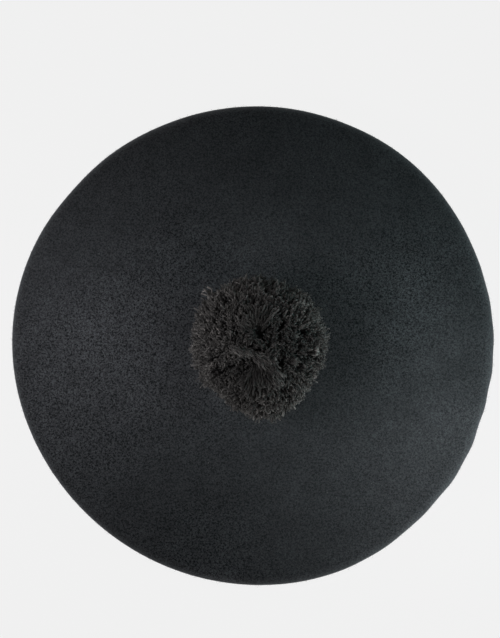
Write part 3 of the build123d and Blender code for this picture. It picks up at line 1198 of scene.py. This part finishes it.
@dataclass
class Threads:
    """The cords that hold the pompom: anchor, shank, knot and tie."""

    pitch: float = 3.0
    winding: float = 0.18
    touch_gap: float = 0.04
    leg: float = 1.6
    loop_height: float = 0.6
    loop_drop: float = 0.55
    knot_rise: float = 1.9
    tie_room: float = 0.9
    tail_gap: float = 0.6
    tail_reach: float = 0.2

    def build(self, material: bpy.types.Material) -> None:
        """Make each thread where its frame node is."""
        self._anchor(material)
        self._shank(material)
        self._knot(material)
        self._tie(material)

    def _anchor(self, material: bpy.types.Material) -> None:
        """Up one leg, over in a half ellipse and down the other, with a knot round both ends."""
        low, high = node_box("anchor_cord")
        leg, loop = self.leg, self.loop_height
        top = high[2] - self.loop_drop
        bottom = low[2] + self.knot_rise
        rise = np.linspace(bottom, top - loop, 24)
        bow = np.linspace(math.pi, 0, 20)
        x = np.concatenate([0 * rise - leg, leg * np.cos(bow), 0 * rise + leg])
        z = np.concatenate([rise, top - loop + loop * np.sin(bow), rise[::-1]])
        path = np.stack([x, 0 * x, z], -1)
        plies = twisted(path[None], 3, 0.25, 2.2, np.zeros(1))
        legs = thread(plies, 0.22)
        knot = self._knot_tube(np.array((0, 0, bottom)), 1.15, 0.62)
        made = Cloth.joined([legs, knot]).piece("anchor_thread", material, Body.BERET, "tie_thread")
        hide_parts("anchor_cord")

    def _knot_tube(self, centre: np.ndarray, size: float, thick: float, tall: float = 0.75) -> Cloth:
        """A thread on a trefoil: radius 2 + cos 3t, turned by 2t, and height tall * sin 3t."""
        t = np.linspace(0, FULL_TURN * 0.985, 90)
        x = (2 + np.cos(3 * t)) * np.cos(2 * t) / 2.4
        y = (2 + np.cos(3 * t)) * np.sin(2 * t) / 2.4
        path = centre + size * np.stack([x, y, tall * np.sin(3 * t)], -1)
        plies = twisted(path[None], 2, thick * 0.42, 2.0, np.zeros(1))
        return thread(plies, thick * 0.58)

    def _shank(self, material: bpy.types.Material) -> None:
        """The bead of wound thread, from the anchor's loop to the knot.

        A coil climbs a spindle whose radius is neck + (belly - neck) * (1 - u^2), for u from -1
        at its foot to 1 at its top.
        """
        low, high = node_box("thread_shank")
        foot = node_box("anchor_cord")[1][2] + self.touch_gap + self.winding
        head = node_box("tie_knot")[0][2] - self.touch_gap - self.winding
        belly, neck = (high - low)[0] / 2 - self.winding, 0.24
        u = np.linspace(-1, 1, 140)
        turn = 7.5 * math.pi * u
        radius = neck + (belly - neck) * (1 - u ** 2)
        path = np.stack([radius * np.cos(turn), radius * np.sin(turn),
                         (foot + head) / 2 + u * (head - foot) / 2], -1)
        made = thread(path[None], self.winding).piece(
            "shank_winding", material, Body.SHANK, "tie_thread")
        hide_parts("thread_shank")

    def _knot(self, material: bpy.types.Material) -> None:
        """The knot under the ball."""
        low, high = node_box("tie_knot")
        made = self._knot_tube((low + high) / 2, 0.88, 0.42, 1.25).piece(
            "knot_under_pompom", material, Body.KNOT, "tie_thread")
        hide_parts("tie_knot")

    def _tie(self, material: bpy.types.Material) -> None:
        """Round the waist once and a bit, then down the tail."""
        low, high = node_box("pompom_tie")
        waist = (high[0] - low[0]) / 2 - self.tie_room
        centre_z = high[2] - waist - self.tie_room
        turn = np.linspace(-math.pi / 2, 1.45 * math.pi, 90)
        ring = np.stack([waist * np.cos(turn), 0.25 * np.sin(turn / 2),
                         centre_z + waist * np.sin(turn)], -1)
        down = np.linspace(centre_z - waist - self.tail_gap, low[2] - self.tail_reach, 40)
        tail = np.stack([0 * down, 0 * down, down], -1)
        parts = []
        for path in (ring, tail):
            plies = twisted(path[None], 3, 0.45, self.pitch, np.zeros(1))
            parts.append(thread(plies, 0.4))
        made = Cloth.joined(parts).piece("waist_tie", material, Body.POMPOM, "tie_thread")
        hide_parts("pompom_tie")


@dataclass
class Pompom:
    """The loose ball of cut two-ply yarn.

    Ends are spread evenly over an oval ball and gathered into tufts. The tie parts the strands
    at two places. Round each parting they fan out of its depth, and locks lie across between.
    """

    shape: CrownShape
    half_size: tuple[float, float, float] = (38.0, 38.0, 30.0)
    side_radius: float = 37.4
    side_swells: tuple[Swell, ...] = (
        Swell(50, 30, 0.8), Swell(120, 24, 1.1), Swell(285, 16, 1.6),
        Swell(190, 28, -1.6), Swell(233, 20, -3.8), Swell(328, 16, -2.8),
    )
    core_share: float = 0.46
    root_share: float = 0.2
    bend_share: float = 0.7
    sink: float = 1.2
    strand_count: int = 9000
    zones: int = 5
    tuft_count: int = 1000
    ply_radius: float = 0.33
    ply_throw: float = 0.35
    twist_pitch: float = 9.0
    stations: tuple[float, ...] = (0.42, 0.66, 0.79, 0.865, 0.92, 0.962, 1.0)
    crimp: float = 0.38
    hook: float = 0.85
    fuzz_count: int = 9000
    nap_room: float = 1.7
    tilt_room: float = 0.28
    tilt_softness: float = 0.6
    knot_room: float = 2.3
    knot_top: float = 48.5
    droop: float = 0.06
    seed: int = 5
    hollows: tuple[Hollow, ...] = (
        Hollow(0.8, 10.4, 3.4, 0.14, 1.2),
        Hollow(0.8, 12.5, 9.0, 0.16, 0.7),
        Hollow(-3.0, -7.2, 3.4, 0.18, 1.5),
        Hollow(1.0, -13.0, 8.0, 0.15, 1.0),
        Hollow(-9.0, -9.5, 5.0, 0.12, 1.0),
        Hollow(-22.4, -17.0, 3.2, 0.34, 2.0),
        Hollow(11.0, 5.5, 3.5, 0.10, 0.4),
        Hollow(18.0, 11.5, 2.6, 0.14, 0.5),
        Hollow(28.0, 10.0, 3.0, 0.16, 0.6),
        Hollow(24.0, 1.0, 3.0, 0.12, 0.5),
        Hollow(15.0, -2.0, 3.0, 0.10, 0.5),
        Hollow(14.0, -24.0, 3.0, 0.14, 0.5),
        Hollow(-6.0, 26.0, 3.0, 0.10, 0.5),
    )
    # gain paints the locks lighter, as painted light on the raised ridge, and the fans darker, as painted
    # shade in the partings
    laid: tuple[Lock | Fan, ...] = (
        Lock((-16.0, 1.0), (-4.0, -3.2), 2.6, 44, 1.2),
        Lock((-7.0, -2.0), (5.0, -10.5), 3.2, 84, 1.45),
        Lock((1.5, -7.0), (11.0, -17.0), 4.0, 50, 1.05),
        Fan(0.8, 9.6, (45, 160), (6, 12), 70, 0.75),
        Fan(0.8, 9.6, (160, 250), (3, 7), 26, 0.7),
        Fan(-2.0, -7.6, (-118, -50), (7, 15), 80, 0.52),
    )
    # painted light on tufts with gain above 1 and painted shade on those below 1
    clumps: tuple[Clump, ...] = (
        Clump(-2, 30, 10, 1.25), Clump(21, 22, 9, 1.35, 0.02), Clump(4, -34, 9, 1.35),
        Clump(26, -21, 9, 1.15), Clump(-27, 12, 12, 1.1), Clump(-12, -20, 11, 0.7),
        Clump(20, 6, 8, 0.75), Clump(-22, -16, 7, 0.7), Clump(0, 9, 7, 0.7),
    )
    strays: tuple[Stray, ...] = (
        Stray((-29.0, 33.0, 6.0), 1.19, 2.0, 1.3), Stray((-28.0, 33.5, 8.0), 1.15, 1.9, 1.3),
        Stray((-29.5, 31.0, 4.0), 1.13, 1.8, 1.3), Stray((-25.0, 33.0, 12.0), 1.05, 1.5, 1.2),
        Stray((-27.5, 31.5, 8.0), 1.12, 1.7, 1.2), Stray((-28.5, 32.0, 6.0), 1.16, 1.9, 1.2),
        Stray((32.3, -1.5, 17.0), 1.07, 4.6, 3.0), Stray((31.5, -3.0, 17.0), 1.04, 3.4, 1.8),
        Stray((-2.5, -38.0, 5.0), 1.07, 2.8, 1.3), Stray((14.5, -37.5, 5.0), 1.04, 2.2),
        Stray((-7.5, 38.5, 8.0), 1.04, 1.6), Stray((33.0, -18.0, 6.0), 1.03, 1.7),
        Stray((24.0, 31.0, 6.0), 1.03, 1.2), Stray((-6.0, 38.0, 3.0), 1.06, 1.4),
    )

    def build(self) -> None:
        """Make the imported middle, the strands in zones and the loose fibres."""
        low, high = node_box("pompom_yarn")
        self.centre = (low + high) / 2
        rng = np.random.default_rng(self.seed)
        yarn = WoolYarn(dark=(0.0236, 0.0222, 0.0211), light=(0.107, 0.101, 0.0938)).make(
            "pompom_wool")
        self._middle(yarn)
        lines, shade, thick, lit_side_share = self._strands(rng)
        share = np.array(self.stations)[None, :]
        splay = 1 + rng.uniform(0.1, 1.3, (len(lines), 1)) * smoothstep(0.8, 1.0, share)
        phase = rng.uniform(0, FULL_TURN, len(lines))
        plies = twisted(lines, 2, self.ply_throw * splay, self.twist_pitch, phase)
        hook = smoothstep(0.84, 1.0, share)[..., None]
        plies = self._clear_of_felt(plies + hook * rng.normal(0, self.hook, (len(plies), 1, 3)))
        thin = self.ply_radius * (0.85 + 0.25 * smoothstep(0.85, 1.0, share))
        thin = thin * rng.uniform(0.75, 1.2, (len(plies), 1)) * np.repeat(thick, 2)[:, None]
        # painted shade: each ply darkens toward its root deep in the ball and keeps full colour at its tip;
        # laid strands keep most of it along their side
        tips = np.maximum(smoothstep(0.78, 1.0, share), np.repeat(lit_side_share, 2)[:, None])
        ply_shade = (np.repeat(shade, 2) * rng.uniform(0.4, 1.6, len(plies)))[:, None]
        ply_shade = ply_shade * (0.22 + 1.0 * tips)
        ply_shade = ply_shade * rng.uniform(0.6, 1.4, ply_shade.shape)
        zone = np.repeat(np.arange(len(lines)) % self.zones, 2)
        for number in range(self.zones):
            keep = zone == number
            made = tubes(plies[keep], thin[keep], 4, ply_shade[keep]).piece(
                f"pompom_strands_{number + 1}", yarn, Body.POMPOM, "pompom_yarn")
            if number == 0:
                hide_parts("pompom_yarn")
        self._fuzz(rng, lines)

    def _middle(self, yarn: bpy.types.Material) -> None:
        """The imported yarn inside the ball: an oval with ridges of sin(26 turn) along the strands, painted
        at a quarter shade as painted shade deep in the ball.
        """
        rows, columns = 40, 96
        lift = np.linspace(math.pi / 2, -math.pi / 2, rows + 2)[1:-1, None]
        turn = np.arange(columns)[None, :] * FULL_TURN / columns
        ridge = 1 + 0.03 * np.sin(26 * turn + 3 * np.sin(2 * lift))
        ball = np.stack([np.cos(lift) * np.cos(turn), np.cos(lift) * np.sin(turn),
                         np.sin(lift) + 0 * turn], -1)
        half = np.array(self.half_size) * self.core_share
        points = self.centre + ball * half * ridge[..., None]
        poles = self.centre + np.array(((0, 0, half[2]), (0, 0, -half[2])))
        # painted shade: the core's colour is a quarter of the yarn's
        Cloth(np.concatenate([points.reshape(-1, 3), poles]), ring_quads(rows, columns),
              end_fans(rows, columns), np.full(rows * columns + 2, 0.25)).piece(
            "pompom_middle", yarn, Body.POMPOM, "pompom_yarn")

    def _directions(self, rng: np.random.Generator) -> tuple[np.ndarray, np.ndarray]:
        """Even directions over the ball by the golden turn, gathered a little towards tuft middles.

        Returns:
            Unit directions, and the number of each one's tuft.
        """
        index = np.arange(self.strand_count) + 0.5
        rise = 1 - 2 * index / self.strand_count
        flat = np.sqrt(1 - rise ** 2)
        ways = np.stack([flat * np.cos(index * GOLDEN_TURN), flat * np.sin(index * GOLDEN_TURN), rise], -1)
        ways = unit(ways + rng.normal(0, 0.015, ways.shape))
        tufts = unit(rng.normal(size=(self.tuft_count, 3)))
        nearest = np.argmax(ways @ tufts.T, axis=1)
        pull = rng.uniform(0.05, 0.4, (len(ways), 1))
        return unit(ways + pull * (tufts[nearest] - ways)), nearest

    def _surface(self, ways: np.ndarray) -> np.ndarray:
        """Where each direction meets the ball, whose sides swell in and out, seen from above."""
        turn = np.arctan2(ways[:, 1], ways[:, 0])
        side = self.side_radius + sum(swell.out(turn) for swell in self.side_swells)
        side = side / self.half_size[0]
        flat = np.hypot(ways[:, 0], ways[:, 1])
        return ways * np.array(self.half_size) * (1 + (side - 1) * flat ** 2)[:, None]

    def _level(self, plan: np.ndarray) -> np.ndarray:
        """How far the ball reaches above each place, as a share: 1 less the hollows, plus the clumps."""
        level = np.ones(plan.shape[:-1])
        for hollow in self.hollows:
            level -= hollow.depth * hollow.near(plan)
        for clump in self.clumps:
            level += clump.lift * clump.near(plan)
        return level

    def _strands(self, rng: np.random.Generator) -> tuple[np.ndarray, ...]:
        """All strands, those that stand up and those that lie on the ball.

        Returns:
            Lines as (strand, station, 3), and per strand its shade, its thickness and how much of
            its side is spared the painted shade toward the root.
        """
        lines, shade, thick = self._standing(rng)
        half = np.array(self.half_size)
        groups, shades, lit_side_share = [lines], [shade], [np.zeros(len(lines))]
        for group in self.laid:
            plan = group.paths(rng, len(self.stations))
            flat = np.minimum((plan ** 2 / half[:2] ** 2).sum(-1), 0.95)
            ways = np.concatenate([plan / half[:2], np.sqrt(1 - flat)[..., None]], -1)
            raised = self._level(plan) + rng.uniform(-0.035, 0.045, (group.count, 1))
            dip = 0.12 * (1 - smoothstep(0, 0.4, np.linspace(0, 1, len(self.stations))))[None, :]
            line = ways * half * (raised - dip)[..., None] + rng.normal(0, 0.2, ways.shape)
            groups.append(line + self.centre)
            # group gain is painted light or shade, times a random tone per strand
            shades.append(group.gain * rng.uniform(0.55, 1.3, group.count))
            # laid strands lie on top, so they are mostly spared the painted root shade
            lit_side_share.append(np.full(group.count, 0.8))
        laid = sum(group.count for group in self.laid)
        thick = np.concatenate([thick, np.ones(laid)])
        return np.concatenate(groups), np.concatenate(shades), thick, np.concatenate(lit_side_share)

    def _standing(self, rng: np.random.Generator) -> tuple[np.ndarray, np.ndarray, np.ndarray]:
        """Middle lines of the strands that stand up out of the ball, their shades and thicknesses.

        A line is the curve (1-t)^2 root + 2t(1-t) bend + t^2 tip. The tip lies on the ball, moved
        by the partings that it is near, by its tuft's own lean and by its own curl. The bend lies
        straight out from the middle.
        """
        half = np.array(self.half_size)
        ways, tuft = self._directions(rng)
        plan = ways[:, :2] * half[:2]
        upper = smoothstep(0.0, 0.35, ways[:, 2])
        reach = 0.975 - (1 - self._level(plan)) * upper + self._swell(ways)
        reach += rng.normal(0, 0.02, len(ways)) + rng.normal(0, 0.026, self.tuft_count)[tuft]
        reach += self.droop * smoothstep(0.3, 0.85, -ways[:, 2])
        shade = rng.uniform(0.6, 1.4, len(ways)) * rng.uniform(0.75, 1.25, self.tuft_count)[tuft]
        lean = np.zeros_like(plan)
        for hollow in self.hollows:
            # painted shade: ends in and near a hollow are darkened
            shade *= 1 - 0.35 * hollow.near(plan) * upper
            lean += hollow.push(plan) * upper[:, None]
        for clump in self.clumps:
            # painted light and shade of the clumps
            shade *= 1 + (clump.gain - 1) * clump.near(plan) * upper
        flat = np.hypot(ways[:, 0], ways[:, 1])
        rise = rng.uniform(0, 5.0, len(ways)) * flat ** 3 * (ways[:, 2] > -0.35)
        lean = np.concatenate([lean, rise[:, None]], 1)
        lean += rng.normal(0, 1.5, (self.tuft_count, 3))[tuft] + rng.normal(0, 0.7, lean.shape)
        tip_ways = unit(ways + lean / half)
        keep = ~((ways[:, 2] < -0.9) & (np.hypot(*plan.T) < 5))
        stray = unit(np.array([end.way for end in self.strays]) / half)
        closest = np.argmax(stray @ ways.T, axis=1)
        ways[closest] = tip_ways[closest] = stray
        reach[closest] = [end.reach for end in self.strays]
        shade[closest] = [end.shade for end in self.strays]
        thick = np.ones(len(ways))
        thick[closest] = [end.thick for end in self.strays]
        ways, tip_ways, reach = ways[keep], tip_ways[keep], reach[keep]
        roots, bends = self.root_share * ways * half, self.bend_share * self._surface(ways)
        tips = self._surface(tip_ways) * reach[:, None]
        t = np.array(self.stations)[None, :, None]
        lines = (1 - t) ** 2 * roots[:, None] + 2 * t * (1 - t) * bends[:, None] + t ** 2 * tips[:, None]
        lines = lines - self.sink * t ** 2.5 * flat[keep, None, None] * np.array((0, 0, 1.0))
        lines = lines + self.crimp * smoothstep(0.6, 0.85, t) * rng.normal(size=lines.shape)
        lines = self._clear_of_felt(lines + self._curl(rng, len(lines), t) + self.centre)
        return lines, shade[keep], thick[keep]

    def _swell(self, ways: np.ndarray) -> np.ndarray:
        """Broad unevenness of the ball: a few hundredths times products of slow waves."""
        x, y, z = ways.T
        broad = 0.02 * np.sin(4.1 * x + 1.3) * np.cos(3.7 * y - 0.4)
        return broad * z + 0.015 * np.sin(9 * x) * np.sin(8 * y + 1) * z

    def _curl(self, rng: np.random.Generator, count: int, t: np.ndarray) -> np.ndarray:
        """The curl each strand keeps from the skein: a wave across it that grows to its tip."""
        across = rng.normal(0, 1, (count, 1, 3))
        wave = rng.uniform(2.2, 4.2, (count, 1, 1)) * FULL_TURN
        start = rng.uniform(0, FULL_TURN, (count, 1, 1))
        return 0.4 * t * across * np.sin(wave * t + start)

    def _clear_of_felt(self, points: np.ndarray) -> np.ndarray:
        """Lift what would touch the felt as the ball tilts.

        The floor lies nap room + tilt room * radius above the dome. A height h over it becomes
        soft * log(1 + exp(h / soft)), which is never below it and leaves no flat edge. Low points
        also keep their distance from the knot and the shank.
        """
        radius = np.hypot(points[..., 0], points[..., 1])
        floor = self.shape.dome_height(radius) + self.nap_room + self.tilt_room * radius
        over = (points[..., 2] - floor) / self.tilt_softness
        points[..., 2] = floor + self.tilt_softness * np.logaddexp(0, over)
        squeeze = np.maximum(self.knot_room / np.maximum(radius, 0.01), 1)
        points[..., :2] *= np.where(points[..., 2] < self.knot_top, squeeze, 1)[..., None]
        return points

    def _fuzz(self, rng: np.random.Generator, lines: np.ndarray) -> None:
        """Loose fibres that leave the strands, most of them at their tips, curling away at random."""
        strand = rng.integers(0, len(lines), self.fuzz_count)
        last = len(self.stations) - 1
        station = last - np.minimum(rng.geometric(0.6, self.fuzz_count) - 1, 4)
        roots = lines[strand, station]
        outward = unit(roots - self.centre)
        length = rng.uniform(0.5, 1.9, (self.fuzz_count, 1))
        ways = length * unit(outward + 1.2 * rng.normal(size=roots.shape))
        bends = 0.7 * length * unit(rng.normal(size=roots.shape))
        shade = rng.uniform(0.6, 1.9, self.fuzz_count)
        width = rng.uniform(0.05, 0.11, self.fuzz_count)
        fibre = WoolYarn(dark=(0.018, 0.0176, 0.017), light=(0.075, 0.073, 0.07), sheen=0.1).make(
            "pompom_fibre")
        fuzz = ribbons(roots, ways, bends, width, shade)
        fuzz.points = self._clear_of_felt(fuzz.points)
        fuzz.piece("pompom_fuzz", fibre, Body.POMPOM, "pompom_yarn")


# ---------------------------------------------------------------- all together


def dress_button(frame: dict) -> None:
    """Give the backing button its plastic."""
    button = frame["nodes"]["backing_button"]
    plastic = Plastic().make()
    if not button.material_slots:
        button.data.materials.append(plastic)
    for material_slot in button.material_slots:
        material_slot.material = plastic
    log.info("backing_button dressed")


def main() -> None:
    """Load the frame and build each sub-assembly around it."""
    logging.basicConfig(level=logging.INFO, format="%(name)s: %(message)s")
    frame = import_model()
    top = node_box("felt_crown")[1]
    shape = CrownShape(radius=top[0], apex=top[2])
    Studio().build()
    FeltCrown(shape).build()
    Lining(shape).build()
    Sweatband(shape).build()
    RibbonBow().build()
    dress_button(frame)
    Threads().build(WoolYarn(fibre_size=0.25).make("tie_thread"))
    Pompom(shape).build()


if __name__ == "__main__":
    main()
